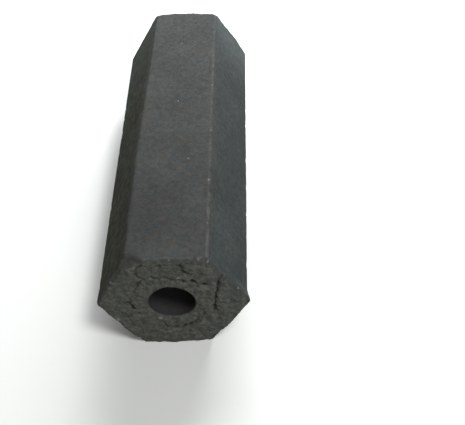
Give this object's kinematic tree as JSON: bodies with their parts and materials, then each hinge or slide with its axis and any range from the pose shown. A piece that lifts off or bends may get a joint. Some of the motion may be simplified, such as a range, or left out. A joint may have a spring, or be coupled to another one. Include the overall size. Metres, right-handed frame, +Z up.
{
  "type": "charcoal briquette",
  "caption": "Six-sided bar of pressed sawdust charcoal with a round hole along its length and broken, crumbly ends.",
  "frame": {"origin": "middle of the flat side that the briquette lies on", "axes": "+Y along the bore, from the end with the ring crack and the lipped corner towards the other end; +Z up, out of the opposite side; +X to the right seen from the -Y end"},
  "size_m": [0.0583, 0.1589, 0.05],
  "materials": {
    "charcoal": "matte, faintly graphitic on the pressed sides, granular on the broken ends"
  },
  "bodies": {
    "root": {"charcoal_briquette": "charcoal"}
  },
  "joints": []
}
